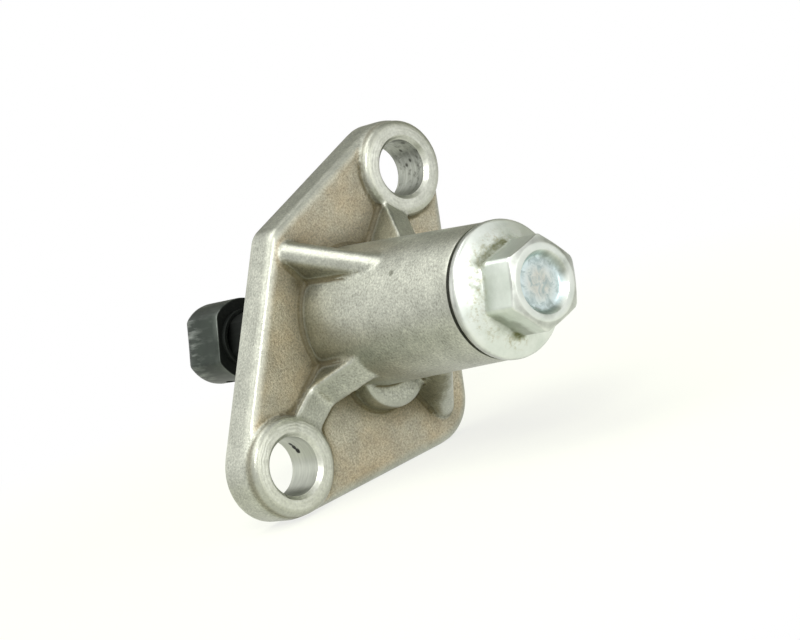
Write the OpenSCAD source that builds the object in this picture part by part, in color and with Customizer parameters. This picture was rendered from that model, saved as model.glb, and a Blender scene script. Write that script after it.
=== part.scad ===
// Timing chain tensioner of the screw type.
// A die-cast housing is bolted to the engine by its two-hole flange. A torsion spring
// in the barrel turns a lead screw, and the screw drives a plunger that can't turn
// out through a bearing plate, against the chain's guide. A flange bolt plugs the barrel.
//
// The pieces are drawn with the mounting face on z = 0, the barrel towards +z and the
// plunger towards -z. Each one is then turned so that the plunger points along +Y.

/* [Flange] */
// Thickness of the flange plate
flange_t = 5.4; // [4.6:0.1:6.2]
// Upper bolt hole, to the right of the barrel's axis
bolt_a_x = 16.8; // [14:0.1:20]
// Upper bolt hole, above the barrel's axis
bolt_a_y = 18.3; // [16:0.1:22]
// Lower bolt hole, to the left of the barrel's axis
bolt_b_x = 21.1; // [18:0.1:25]
// Lower bolt hole and lower corner, below the barrel's axis
bolt_b_y = 15.7; // [14:0.1:19]
// Diameter of the bolt holes
bolt_hole_d = 8.7; // [7:0.1:10]
// Chamfer at the bolt holes' mouths in the bosses
hole_chamfer = 0.6; // [0.2:0.1:1]
// Radius of the flange around the bolt holes and at the lower corner
lobe_r = 7.75; // [7.2:0.05:10]
// Radius of the bolt bosses
boss_r = 7.4; // [6.6:0.1:8.5]
// Height of the bolt bosses above the mounting face
boss_h = 6.9; // [6.5:0.1:9]
// Round-over of the bosses' rims
boss_edge = 0.8; // [0.3:0.1:1]
// Lower right corner, to the right of the barrel's axis
foot_x = 8; // [5:0.1:12]
// Upper left corner, to the left of the barrel's axis
crest_x = 7.6; // [5:0.1:10]
// Upper left corner, above the barrel's axis
crest_y = 14.3; // [12:0.1:17]
// Radius of the upper left corner
crest_r = 3; // [2:0.1:5]
// Round-over of the flange's front edge
edge_r = 1.3; // [0.5:0.1:1.6]

/* [Barrel] */
// Length of the barrel from the mounting face
barrel_len = 37.6; // [34:0.1:44]
// Diameter of the barrel at its end
barrel_end_d = 19.6; // [18.6:0.1:23]
// Draft of the barrel's wall, in degrees
barrel_draft = 1.9; // [0:0.1:3]
// Fillet at the foot of the barrel
barrel_fillet = 0.6; // [0.4:0.1:2]
// Wall of the barrel at its end
barrel_wall = 2.2; // [1.8:0.1:2.6]
// Thickness of the end wall that the plug bolt screws into
end_wall = 9.6; // [7:0.1:11]

/* [Ribs] */
// Radius of the ridge of the two round ribs
ridge_r = 1.9; // [1.2:0.1:2.5]
// Direction of the upper round rib, in degrees
crest_rib_dir = 122.5; // [110:0.5:135]
// Reach of the upper round rib from the barrel's axis
crest_rib_reach = 15.2; // [12:0.1:16]
// Height at which the upper round rib meets the barrel
crest_rib_top = 21.5; // [14:0.1:26]
// Direction of the lower round rib, in degrees
foot_rib_dir = -62; // [-80:0.5:-50]
// Reach of the lower round rib from the barrel's axis
foot_rib_reach = 20.2; // [14:0.1:21]
// Height at which the lower round rib meets the barrel
foot_rib_top = 16; // [10:0.1:24]
// Width of the flat ribs that run to the bosses
boss_rib_w = 4.8; // [3:0.1:6]
// Turn of the flat ribs off the line to their bosses, in degrees
boss_rib_skew = -2.5; // [-5:0.5:5]
// Height at which the flat ribs meet the barrel
boss_rib_top = 14.2; // [10:0.1:18]
// Step from the bosses down to the flat ribs
boss_rib_drop = 0.2; // [0.1:0.1:1]
// Reach of the lower flat rib's slope from the barrel's axis
boss_rib_slope = 14.9; // [13:0.1:16.5]
// Diameter of the round pad under the barrel
pad_d = 12.3; // [9:0.1:14]
// Height of the round pad above the mounting face
pad_h = 9.7; // [8:0.1:13]
// Centre of the round pad, below the barrel's axis
pad_y = 8.4; // [7:0.1:10]
// Rounding of the pad's rim
pad_edge = 0.6; // [0.3:0.1:1.2]

/* [Pilot] */
// Length of the pilot behind the mounting face
pilot_len = 8; // [7.6:0.1:10]
// Wall of the pilot around the bore
pilot_wall = 2.9; // [2.7:0.1:3.6]
// Chamfer at the pilot's end
pilot_chamfer = 0.6; // [0.3:0.1:0.8]
// Distance of the seal groove from the mounting face
groove_back = 1; // [0.8:0.1:1.4]
// Section of the pilot's O-ring
o_ring_d = 1.9; // [1.5:0.1:2]

/* [Plug bolt] */
// Diameter of the plug bolt's thread
thread_d = 8; // [6:0.5:10]
// Hexagon across its flats
hex_af = 12; // [10:0.5:13]
// Turn of the hexagon, in degrees
hex_turn = 12.6; // [0:0.1:60]
// Height of the head above the bolt's seat
head_h = 8.8; // [7:0.1:11]
// Diameter of the bolt's flange
head_flange_d = 19.8; // [17.5:0.1:22]
// Thickness of the flange at its rim
head_rim_t = 1.3; // [0.8:0.1:1.8]
// Rise of the flange's cone from its rim to its top, inside the hexagon
head_cone_h = 2.6; // [1.2:0.1:3.6]
// Chamfer of the hexagon's corners, along the axis
hex_chamfer = 0.55; // [0.3:0.05:0.9]
// Diameter of the flat ring on the head
ring_d = 10.7; // [9.6:0.1:11.4]
// Diameter of the dished recess in the head
recess_d = 8.8; // [6:0.1:9.2]
// Depth of the dished recess
recess_depth = 1.2; // [0.5:0.1:2]
// Thickness of the sealing washer
washer_t = 0.7; // [0.5:0.1:1.5]

/* [Plunger] */
// Travel of the plunger
travel = 15; // [10:0.5:18]
// Diameter of the plunger's tube
tube_d = 8.2; // [7.4:0.1:8.8]
// Depth of the two flats on the tube
tube_flat = 0.7; // [0.4:0.1:0.9]
// Wall of the tube
tube_wall = 1.25; // [1.15:0.05:1.5]
// Thickness of the stop collar at the tube's rear end
stop_t = 1.6; // [1:0.1:2]
// Diameter of the cap
cap_d = 13.1; // [11.5:0.1:15]
// Length of the cap
cap_len = 9; // [8:0.1:12]
// Depth of the two flats on the cap
cap_flat = 1.15; // [0.5:0.05:1.5]
// Turn of the flats, in degrees
flat_turn = -18.4; // [-45:0.1:45]
// Thickness of the cap's end
cap_end = 2.6; // [2.2:0.1:3.5]
// Chamfer of the cap's edges
cap_chamfer = 0.5; // [0.2:0.1:0.8]
// Length of the short neck behind the cap
neck_len = 0.8; // [0.4:0.1:0.9]
// Wall of the neck
neck_wall = 0.65; // [0.4:0.05:1]
// Diameter of the spring pin that holds the cap
pin_d = 2.5; // [2:0.1:2.8]
// Wall of the spring pin
pin_wall = 0.5; // [0.3:0.05:0.7]

/* [Screw and spring] */
// Thickness of the screw's head
screw_head_t = 3.4; // [3.2:0.1:4]
// Diameter of the pivot at the screw's rear end
pivot_d = 6; // [5:0.1:6.6]
// Thickness of the thrust seat
seat_t = 1.4; // [1:0.1:1.8]
// Diameter of the spring's wire
wire_d = 1.3; // [1:0.05:1.4]
// Turns of the spring
coils = 12; // [8:1:13]
// Thickness of the bearing plate
bearing_t = 2.2; // [1.6:0.1:2.4]
// Width of the bearing plate's shoulder in the housing
bearing_shoulder = 0.8; // [0.6:0.05:1]
// Width of the bearing plate's ears
ear_w = 3.2; // [2:0.1:4]
// Reach of the ears beyond the bearing plate's rim
ear_reach = 0.9; // [0.5:0.1:1]
// Thickness of the retaining ring
snap_t = 0.9; // [0.7:0.1:1]
// Depth of the retaining ring's groove
snap_groove = 0.55; // [0.4:0.05:0.6]
// Width of the retaining ring
snap_w = 1.8; // [1.4:0.1:2.2]
// Opening of the retaining ring, in degrees
snap_gap = 40; // [20:5:70]

/* [Clearances] */
// Gap of a turned piece in its bore, on the radius
run_gap = 0.1; // [0.05:0.01:0.15]
// Gap of a piece that sits fixed in its seat
seat_gap = 0.05; // [0.02:0.01:0.1]
// Gap between pieces that pass each other
pass_gap = 0.3; // [0.2:0.05:0.4]
// Gap between the cap and the pilot when the plunger is pushed home
home_gap = 1; // [0.95:0.05:2]

/* [Hidden] */
$fn = 64;
cast_fn = 32; // fineness of the round ends that a cast web is stretched over
over = 1; // how far a cut runs past the face that it opens

// Places on the flange
bolt_a = [bolt_a_x, bolt_a_y];
bolt_b = [-bolt_b_x, -bolt_b_y];
bolts = [bolt_a, bolt_b];
foot = [foot_x, -bolt_b_y];
crest = [-crest_x, crest_y];
rib_a_dir = atan2(bolt_a.y, bolt_a.x) + boss_rib_skew;
rib_b_dir = atan2(bolt_b.y, bolt_b.x) + boss_rib_skew;
flange_span = 2 * (norm(bolt_a) + norm(bolt_b) + 2 * lobe_r);

// Barrel and bore
function barrel_r(z) = barrel_end_d / 2 + (barrel_len - z) * tan(barrel_draft);
bore_r = barrel_end_d / 2 - barrel_wall;
floor_z = barrel_len - end_wall;
barrel_rim = 0.4;
fillet_bite = 0.85; // share of the fillet's radius that its centre stands off the two walls
web_root_z = flange_t / 2;
root_depth = 1.5; // how many ridge radii a round rib runs on into the barrel's wall

// Pilot and its mouth, from the open end inwards
pilot_r = bore_r + pilot_wall;
mouth_lip = 0.65;
snap_z = -pilot_len + mouth_lip;
bearing_z = snap_z + snap_t + seat_gap;
shoulder_z = bearing_z + bearing_t;
mouth_r = bore_r + bearing_shoulder;
snap_groove_r = mouth_r + snap_groove;
ear_r = mouth_r + ear_reach;
ear_count = 3;
groove_w = o_ring_d + pass_gap;
groove_depth = o_ring_d + 2 * seat_gap;

// Plug bolt
seat_z = barrel_len + washer_t;
head_z = seat_z + head_h;
head_flange_r = head_flange_d / 2;
thread_r = thread_d / 2;
washer_inset = 0.5;
hex_r = hex_af / 2 / cos(30);

// Screw, thrust seat and spring
seat_hole_r = pivot_d / 2 + run_gap;
screw_head_z = floor_z - seat_t - pass_gap;
screw_neck_z = screw_head_z - screw_head_t;
coil_r = bore_r - 2 * pass_gap - wire_d / 2;
coil_steps = 14; // straight steps in one turn of the spring
wire_sides = 6; // sides of the wire's section
coil_in_r = coil_r * cos(180 / coil_steps) - wire_d / 2;
screw_head_r = coil_in_r - 1.5 * pass_gap;
tube_bore_r = tube_d / 2 - tube_wall;
screw_r = tube_bore_r - run_gap;
slot_w = wire_d + pass_gap;
slot_floor = 0.36; // share of the head's thickness that is left under its slot
slot_z = screw_neck_z + slot_floor * screw_head_t;
hook_z = slot_z + run_gap + wire_d / 2;
hook_dir = 30;
bend_r = 1.4; // radius of the bends at the spring's two ends
coil_start = asin(bend_r / coil_r);
coil_end = coil_start + 360 * coils;
coil_end_z = max(shoulder_z + bend_r + pass_gap, -bend_r);
tang_turn = hook_dir + coil_end;
tang_at = coil_r * [cos(tang_turn), sin(tang_turn)] + bend_r * [-sin(tang_turn), cos(tang_turn)];

// Plunger
cap_back = pilot_len + travel + home_gap;
cap_tip = cap_back + cap_len;
tube_tip = cap_tip - cap_end - seat_gap;
stop_z = shoulder_z + pass_gap;
stop_r = coil_in_r - pass_gap;
tube_r = tube_d / 2;
cap_r = cap_d / 2;
neck_r = tube_r + neck_wall;
pin_web = 0.8; // wall of the tube between the pin's hole and the cap's end
pin_z = cap_tip - cap_end - pin_web - pin_d / 2;
screw_tip = pin_z - pin_d / 2 - travel - home_gap;

// Helpers

function unit(v) = v / norm(v);

// Point past the end of a line, so that an edge runs on through the wall that it meets
function run_on(from, to) = to + over * unit(to - from);

// Turns a drawn piece into the part's frame, with the plunger along +Y
module placed() {
    rotate([90, 0, 0]) children();
}

// Round puck with its upper edge rounded over
module puck(r, h, e) {
    rotate_extrude() {
        square([r - e, h]);
        square([r, h - e]);
        translate([r - e, h - e]) circle(e);
    }
}

// Flat ring between two radii
module ring(r_in, r_out, h) {
    difference() {
        cylinder(r = r_out, h = h);
        translate([0, 0, -over]) cylinder(r = r_in, h = h + 2 * over);
    }
}

// Round bar along z with two flats across the turned x direction
module double_d(r, half_flat, h) {
    intersection() {
        cylinder(r = r, h = h);
        rotate(flat_turn) translate([-half_flat, -2 * r, -over]) cube([2 * half_flat, 4 * r, h + 2 * over]);
    }
}

// Cast pieces of the housing

// Flange plate over its four corners, cut flat on the mounting face
module flange_plate() {
    difference() {
        translate([0, 0, -over]) hull() {
            for (p = concat(bolts, [foot]))
                translate(p) puck(lobe_r, flange_t + over, edge_r, $fn = cast_fn);
            translate(crest) puck(crest_r, flange_t + over, edge_r, $fn = cast_fn);
        }
        translate([-flange_span / 2, -flange_span / 2, -2 * over])
            cube([flange_span, flange_span, 2 * over]);
    }
}

// Drafted barrel with a broken edge at its end and a fillet at its foot
module barrel_wall_solid() {
    rim_z = barrel_len - barrel_rim;
    lift = barrel_fillet * fillet_bite;
    centre = [barrel_r(flange_t) + lift, flange_t + lift];
    rotate_extrude() polygon([[0, 0], [barrel_r(0), 0], [barrel_r(rim_z), rim_z],
                              [barrel_r(barrel_len) - barrel_rim, barrel_len], [0, barrel_len]]);
    rotate_extrude() difference() {
        translate([bore_r, web_root_z]) square([centre.x - bore_r, centre.y - web_root_z]);
        translate(centre) circle(barrel_fillet);
    }
}

// Web with a round ridge, from the flange at the reach up to the barrel and on into its wall
module ridge_rib(dir, reach, top_z) {
    low = [reach, 0, flange_t];
    meet = [barrel_r(top_z) - ridge_r, 0, top_z];
    high = meet + root_depth * ridge_r * unit(meet - low);
    rotate(dir) hull() {
        for (p = [low, high, [high.x, 0, flange_t]])
            translate(p) sphere(ridge_r, $fn = cast_fn);
    }
}

// Flat-topped web under a top line of [radius, height] points, from the outside in
module bar_rib(dir, top_line) {
    outer = top_line[0];
    inner = top_line[len(top_line) - 1];
    rotate(dir) rotate([90, 0, 0]) linear_extrude(boss_rib_w, center = true)
        polygon(concat([[inner.x, web_root_z], [outer.x, web_root_z]], top_line));
}

module cast_ribs() {
    land_h = boss_h - boss_rib_drop;
    a_end = [norm(bolt_a) - boss_r + boss_edge, land_h];
    b_end = [norm(bolt_b) - boss_r + boss_edge, land_h];
    b_slope = [boss_rib_slope, land_h];
    meet = [barrel_r(boss_rib_top), boss_rib_top];
    ridge_rib(crest_rib_dir, crest_rib_reach, crest_rib_top);
    ridge_rib(foot_rib_dir, foot_rib_reach, foot_rib_top);
    bar_rib(rib_a_dir, [a_end, run_on(a_end, meet)]);
    bar_rib(rib_b_dir, [b_end, b_slope, run_on(b_slope, meet)]);
    translate([0, -pad_y]) puck(pad_d / 2, pad_h, pad_edge);
}

// Pilot behind the flange, with its seal groove
module pilot() {
    translate([0, 0, -pilot_len]) rotate_extrude()
        polygon([[0, 0], [pilot_r - pilot_chamfer, 0], [pilot_r, pilot_chamfer],
                 [pilot_r, pilot_len + web_root_z], [0, pilot_len + web_root_z]]);
}

module pilot_groove() {
    translate([0, 0, -groove_back - groove_w]) ring(pilot_r - groove_depth, pilot_r + over, groove_w);
}

// Bolt hole with a chamfer at its mouth in the boss
module bolt_bore() {
    r = bolt_hole_d / 2;
    translate([0, 0, -over]) cylinder(r = r, h = boss_h + 2 * over);
    translate([0, 0, boss_h - hole_chamfer])
        cylinder(r1 = r, r2 = r + 2 * hole_chamfer, h = 2 * hole_chamfer);
}

// Stepped bore: plug thread, spring chamber, bearing seat, ear notches and ring groove
module stepped_bore() {
    cylinder(r = thread_r + seat_gap, h = barrel_len + over);
    translate([0, 0, -pilot_len - over]) cylinder(r = bore_r, h = pilot_len + over + floor_z);
    translate([0, 0, -pilot_len - over]) cylinder(r = mouth_r, h = pilot_len + over + shoulder_z);
    translate([0, 0, snap_z - seat_gap]) cylinder(r = snap_groove_r, h = snap_t + 2 * seat_gap);
    translate([0, 0, -pilot_len - over]) ears(ear_r, ear_w, pilot_len + over + shoulder_z);
}

// Radial ears, spread evenly round the axis
module ears(r, w, h) {
    intersection() {
        cylinder(r = r, h = h);
        for (i = [0:ear_count - 1])
            rotate(90 + i * 360 / ear_count) translate([r / 2, -w / 2, 0]) cube([r, w, h]);
    }
}

// Sub-parts

module housing() {
    color("#a9aaa0") placed() difference() {
        union() {
            flange_plate();
            for (p = bolts)
                translate(p) puck(boss_r, boss_h, boss_edge);
            barrel_wall_solid();
            cast_ribs();
            pilot();
        }
        for (p = bolts)
            translate(p) bolt_bore();
        stepped_bore();
        pilot_groove();
    }
}

// Flange bolt that closes the barrel
module sealing_bolt() {
    point = thread_r / 4;
    shank_z = floor_z + point;
    root_z = seat_z + head_rim_t / 2;
    rim_edge = head_rim_t / 4;
    rim_z = seat_z + head_rim_t;
    cone_top_r = hex_af / 4;
    hex_sides = 6;
    recess_lean = 0.5; // how far the recess's wall leans in for each millimetre of depth
    color("#c6cdc8") placed() difference() {
        union() {
            rotate_extrude() polygon([[0, seat_z], [head_flange_r - rim_edge, seat_z],
                                      [head_flange_r, seat_z + rim_edge], [head_flange_r, rim_z - rim_edge],
                                      [head_flange_r - rim_edge, rim_z], [cone_top_r, rim_z + head_cone_h],
                                      [0, rim_z + head_cone_h]]);
            intersection() {
                translate([0, 0, root_z]) rotate(hex_turn) cylinder(r = hex_r, h = head_h, $fn = hex_sides);
                rotate_extrude() polygon([[0, seat_z], [hex_r + over, seat_z],
                                          run_on([ring_d / 2, head_z], [hex_r, head_z - hex_chamfer]),
                                          [ring_d / 2, head_z], [0, head_z]]);
            }
            rotate_extrude() polygon([[0, shank_z], [thread_r - point, shank_z],
                                      [thread_r, shank_z + point], [thread_r, root_z], [0, root_z]]);
        }
        translate([0, 0, head_z - recess_depth])
            cylinder(r1 = recess_d / 2 - recess_lean * recess_depth, r2 = recess_d / 2 + recess_lean * over,
                     h = recess_depth + over);
    }
}

module sealing_washer() {
    washer_r = min(head_flange_r, barrel_end_d / 2) - washer_inset;
    color("#2a2b29") placed() translate([0, 0, barrel_len])
        ring(thread_r + pass_gap, washer_r, washer_t);
}

module pilot_o_ring() {
    ring_r = pilot_r - groove_depth + seat_gap + o_ring_d / 2;
    color("#1d1d1c") placed() translate([0, 0, -groove_back - groove_w / 2])
        rotate_extrude() translate([ring_r, 0]) circle(d = o_ring_d);
}

// Guide in the pilot's mouth: the tube's flats run in its hole, and it holds the spring's tang
module bearing_plate() {
    color("#8c8f8c") placed() translate([0, 0, bearing_z]) difference() {
        union() {
            cylinder(r = mouth_r - seat_gap, h = bearing_t);
            ears(ear_r - seat_gap, ear_w - 2 * seat_gap, bearing_t);
        }
        translate([0, 0, -over])
            double_d(tube_r + run_gap, tube_r - tube_flat + run_gap, bearing_t + 2 * over);
        translate([tang_at.x, tang_at.y, -over]) cylinder(d = wire_d + pass_gap, h = bearing_t + 2 * over);
    }
}

module retaining_ring() {
    r_out = snap_groove_r - seat_gap;
    color("#4d504e") placed() translate([0, 0, snap_z]) rotate(-90) difference() {
        ring(r_out - snap_w, r_out, snap_t);
        linear_extrude(3 * snap_t, center = true)
            polygon([[0, 0], 2 * r_out * [cos(snap_gap / 2), -sin(snap_gap / 2)],
                     2 * r_out * [cos(snap_gap / 2), sin(snap_gap / 2)]]);
    }
}

module thrust_seat() {
    color("#7d807d") placed() translate([0, 0, floor_z - seat_t])
        ring(seat_hole_r, bore_r - 2 * run_gap, seat_t);
}

// Lead screw: threaded shank, slotted head for the spring's hook and the winding key, and pivot
module lead_screw() {
    pivot_top = floor_z - pass_gap;
    color("#6f7371") placed() difference() {
        union() {
            translate([0, 0, -screw_tip]) cylinder(r = screw_r, h = screw_tip + screw_head_z);
            translate([0, 0, screw_neck_z]) cylinder(r = screw_head_r, h = screw_head_t);
            translate([0, 0, screw_neck_z]) cylinder(d = pivot_d, h = pivot_top - screw_neck_z);
        }
        rotate(hook_dir) translate([-2 * screw_head_r, -slot_w / 2, slot_z])
            cube([4 * screw_head_r, slot_w, floor_z - slot_z]);
    }
}

// Centre line of the spring: hook, bend, coils, bend and tang
function turned(p, a) = [p.x * cos(a) - p.y * sin(a), p.x * sin(a) + p.y * cos(a), p.z];
bend_steps = 4; // straight steps in each bend of the spring's ends
bend_angles = [for (i = [1:bend_steps - 1]) i * 90 / bend_steps];
hook_x = coil_r * cos(coil_start) - bend_r;
hook_path = concat(
    [[screw_r / 2, 0, hook_z], [hook_x, 0, hook_z]],
    [for (a = bend_angles) [hook_x + bend_r * sin(a), bend_r * (1 - cos(a)), hook_z]]);
coil_path = [for (i = [0:coils * coil_steps])
    let (a = coil_start + i * 360 / coil_steps, u = i / (coils * coil_steps))
    [coil_r * cos(a), coil_r * sin(a), hook_z + (coil_end_z + bend_r - hook_z) * u]];
tang_bend = [for (a = bend_angles)
    turned([coil_r, bend_r * sin(a), coil_end_z + bend_r * cos(a)], coil_end)];
tang_path = [for (z = [coil_end_z, bearing_z + pass_gap]) turned([coil_r, bend_r, z], coil_end)];
spring_path = concat(hook_path, coil_path, tang_bend, tang_path);

// Tube of a given radius swept along a path, with its section carried along without twist
function heading(path, i) = unit(path[min(i + 1, len(path) - 1)] - path[max(i - 1, 0)]);
function across(n, t) = unit(n - (n * t) * t);
module swept_wire(path, r, sides) {
    count = len(path);
    normals = [for (i = 0, n = across([0, 0, 1], heading(path, 0)); i < count;
                    i = i + 1, n = across(n, heading(path, min(i, count - 1)))) n];
    points = [for (i = [0:count - 1]) let (t = heading(path, i), n = normals[i], b = cross(t, n))
        for (k = [0:sides - 1]) path[i] + r * (cos(k * 360 / sides) * n + sin(k * 360 / sides) * b)];
    walls = [for (i = [0:count - 2]) for (k = [0:sides - 1]) let (m = (k + 1) % sides)
        each [[i * sides + k, (i + 1) * sides + k, (i + 1) * sides + m],
              [i * sides + k, (i + 1) * sides + m, i * sides + m]]];
    start_cap = [for (k = [0:sides - 1]) k];
    end_cap = [for (k = [sides - 1:-1:0]) (count - 1) * sides + k];
    polyhedron(points, concat([start_cap], walls, [end_cap]));
}

module torsion_spring() {
    color("#5c605e") placed() rotate(hook_dir) swept_wire(spring_path, wire_d / 2, wire_sides);
}

// Plunger tube: it rides on the screw and slides through the bearing plate
module plunger_tube() {
    pin_hole = pin_d / 2 + seat_gap;
    color("#3b3e3d") placed() difference() {
        union() {
            translate([0, 0, -tube_tip]) double_d(tube_r, tube_r - tube_flat, tube_tip + stop_z);
            translate([0, 0, stop_z]) cylinder(r = stop_r, h = stop_t);
        }
        translate([0, 0, -tube_tip - over])
            cylinder(r = tube_bore_r, h = tube_tip + stop_z + stop_t + 2 * over);
        translate([0, 0, -pin_z]) rotate(flat_turn) rotate([90, 0, 0])
            cylinder(r = pin_hole, h = 2 * cap_d, center = true);
    }
}

// Cap that meets the chain's guide, with two flats and a short neck
module plunger_cap() {
    c = cap_chamfer;
    tip_r = cap_r - 2 * c;
    color("#303331") placed() difference() {
        union() {
            translate([0, 0, -cap_tip]) intersection() {
                double_d(cap_r, cap_r - cap_flat, cap_len);
                rotate_extrude() polygon([[0, 0], [tip_r, 0], [cap_r, c], [cap_r, cap_len - c],
                                          [cap_r - c, cap_len], [0, cap_len]]);
            }
            translate([0, 0, -cap_back]) cylinder(r = neck_r, h = neck_len);
        }
        translate([0, 0, -cap_tip + cap_end]) cylinder(r = tube_r + seat_gap, h = cap_len + neck_len);
        translate([0, 0, -pin_z]) rotate(flat_turn) rotate([90, 0, 0])
            cylinder(r = pin_d / 2 + seat_gap, h = 2 * cap_d, center = true);
    }
}

// Rolled spring pin, slit along its length
module cap_pin() {
    pin_len = 2 * (cap_r - cap_chamfer);
    slit = pin_wall;
    color("#878b88") placed() translate([0, 0, -pin_z]) rotate(flat_turn) rotate([90, 0, 0])
        translate([0, 0, -pin_len / 2]) difference() {
            ring(pin_d / 2 - pin_wall, pin_d / 2, pin_len);
            translate([0, -slit / 2, -over]) cube([pin_d, slit, pin_len + 2 * over]);
        }
}

housing();
sealing_bolt();
sealing_washer();
pilot_o_ring();
bearing_plate();
retaining_ring();
thrust_seat();
lead_screw();
torsion_spring();
plunger_tube();
plunger_cap();
cap_pin();
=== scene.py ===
"""Looks of a screw-type timing chain tensioner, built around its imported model.

The casting, the plug bolt, the plunger's cap, the spring and the lead screw are made here as
finished pieces that stand for their plain solids. The other solids keep their shape and get a
material. Sizes are in millimetres, and the part's frame has +Y the way the plunger moves out.
"""

import math

import bmesh
import bpy
import numpy as np
from mathutils import Matrix, Vector, noise
from mathutils.bvhtree import BVHTree


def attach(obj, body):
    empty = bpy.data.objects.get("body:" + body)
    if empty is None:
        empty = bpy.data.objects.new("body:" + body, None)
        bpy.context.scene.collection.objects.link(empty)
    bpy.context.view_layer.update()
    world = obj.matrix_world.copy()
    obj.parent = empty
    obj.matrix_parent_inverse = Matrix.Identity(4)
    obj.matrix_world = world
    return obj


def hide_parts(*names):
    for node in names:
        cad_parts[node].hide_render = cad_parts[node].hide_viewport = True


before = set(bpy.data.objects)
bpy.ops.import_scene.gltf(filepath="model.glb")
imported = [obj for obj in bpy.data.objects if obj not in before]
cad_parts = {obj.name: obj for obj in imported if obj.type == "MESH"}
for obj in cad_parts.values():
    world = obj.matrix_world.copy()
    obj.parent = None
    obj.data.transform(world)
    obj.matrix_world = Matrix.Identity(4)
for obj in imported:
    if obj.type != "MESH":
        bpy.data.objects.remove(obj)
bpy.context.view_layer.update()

MM = 0.001

# Casting. Places across the flange are (x, z), and heights are along Y.
UPPER_BOLT = (16.8, 18.3)
LOWER_BOLT = (-21.1, -15.7)
BOLT_HOLE_R = 4.35
HOLE_CHAMFER = 0.6
FACE_Y = -5.4
BOSS_Y = -6.9
BOSS_R = 7.4
BOSS_STOCK = 0.15
SPOT_FACE_R = 6.8
FLANGE_FOOT_Z = -23.45
BARREL_END_Y = -37.6
# Marks are (x, y, z, radius)
CAST_PITS = [(-7.54, -25.49, 6.87, 0.4)]
# Painted shade and dirt on the foot rib's flank towards the pad.
FOOT_RIB_SHADE_AND_DIRT = [
    (4.6, -12.4, -12.4, 1.5), (5.2, -10.6, -13.7, 1.6), (5.7, -8.6, -14.7, 1.6), (5.9, -6.6, -15.2, 1.6)]
POROUS_X = 15.0
UPPER_HOLE_PITS = [
    (21.1, -2.5, 18.0, 0.22), (21.1, -3.6, 18.6, 0.2), (20.6, -2.9, 20.5, 0.22), (20.8, -6.4, 19.8, 0.22),
    (19.6, -5.2, 21.6, 0.25), (18.6, -4.4, 22.3, 0.22), (17.6, -5.6, 22.6, 0.22)]
LOWER_HOLE_MARK = [(-17.4, -2.2, -13.4, 0.35), (-17.1, -2.35, -14.0, 0.45), (-16.9, -2.6, -14.6, 0.5)]
CAST_VOXEL = 0.3
CAST_SMOOTHING = 8
RAW_STOCK = 1.5
RAW_PLUG_R = 6.2
SHELTER_REACH = 7.0
SHELTER_RAYS = 24
EDGE_BEND = 0.14
EDGE_SMOOTHING = 14
BEND_LIMIT = 1.2
BEND_SPREAD = 5

# Pilot and bore
BORE_R = 7.6
BORE_FLOOR_Y = -28.0
PLUG_HOLE_R = 4.05
MOUTH_R = 8.4
MOUTH_Y = 4.2
SNAP_GROOVE_R = 8.95
SNAP_GROOVE_Y = (6.4, 7.4)
EAR_R = 9.3
EAR_W = 3.2
EAR_COUNT = 3
PILOT_R = 10.5
PILOT_LEN = 8.0
PILOT_CHAMFER = 0.6
SEAL_GROOVE_R = 8.5
SEAL_GROOVE_Y = (1.0, 3.2)

# Plug bolt: heights run from the mounting face towards the head
HEX_FLAT_R = 6.0
HEX_TURN = math.radians(12.6)
HEX_CORNER_R = 6.93
HEX_CORNER_EASE = 0.16
HEX_FOOT_Y = -41.0
BOLT_SEAT = 38.3
BOLT_TOP = 47.1
BOLT_FLANGE_R = 9.9
BOLT_RIM = 39.6
CONE_TOP_R = 3.0
CONE_RISE = 2.6
CONE_RINGS = 5
HEAD_RING_R = 5.35
HEX_CHAMFER = 0.55
DISH_R = 4.4
DISH_FLOOR_R = 3.75
DISH_MIDDLE_R = 1.4
DISH_DEPTH = 1.15
DISH_RINGS = 16
DISH_LUMPS = 0.08
DISH_LUMP_SIZE = 1.1
OIL_Z = (-2.0, 5.0)
# Rows of marks round the axis: distance off the hexagon, y, first and last angle in degrees, count and size
# The second row, low on the hexagon, is partly painted shade.
OIL_AND_SHADE_ROWS = [(0.3, -41.0, 84, 132, 10, 0.5), (0.2, -41.2, 246, 258, 3, 0.4)]
SPECK_ROWS = [(1.1, -40.6, 84, 190, 10, 0.9), (1.6, -40.4, 200, 216, 2, 0.6), (0.9, -40.7, 242, 258, 3, 0.7)]
# Painted shade rows: on the dish's wall and on the hexagon's lower flat.
SHADE_ROWS = [(-2.3, -46.5, 6, 56, 7, 0.4), (-2.3, -46.5, 240, 284, 6, 0.35),
             (-0.1, -41.9, 208, 246, 5, 0.9), (-0.1, -43.2, 226, 248, 3, 0.8)]
SHANK_R = 4.0
SHANK_END = 29.0
SHANK_PITCH = 1.25
SHANK_GROOVE = 0.6

# Plunger's cap
CAP_R = 6.55
CAP_HALF_FLAT = 5.4
CAP_BACK_Y = 24.0
CAP_TIP_Y = 33.0
CAP_HOLE_R = 4.15
CAP_HOLE_Y = 30.4
NECK_R = 4.75
NECK_Y = 23.2
FLAT_TURN = math.radians(-18.4)
PIN_Y = 28.35
PIN_HOLE_R = 1.3

# Lead screw and its spring
SCREW_R = 2.75
SCREW_LEAD = 5.0
SCREW_STARTS = 2
SCREW_GROOVE = 0.5
SCREW_TIP_Y = 11.1
SCREW_NECK_Y = -22.9
SCREW_HEAD_Y = -26.3
SCREW_HEAD_R = 5.09
PIVOT_R = 3.0
PIVOT_END_Y = -27.7
SLOT_W = 1.6
SLOT_FLOOR_Y = -24.12
HOOK_DIR = math.radians(30)
HOOK_Y = -24.87
COIL_R = 6.35
COILS = 12
COIL_STEPS = 40
WIRE_R = 0.65
WIRE_SIDES = 10
BEND_R = 1.4
BEND_STEPS = 8
TANG_END_Y = 6.1
THREAD_ROW = 0.16
THREAD_FADE = 12

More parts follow.
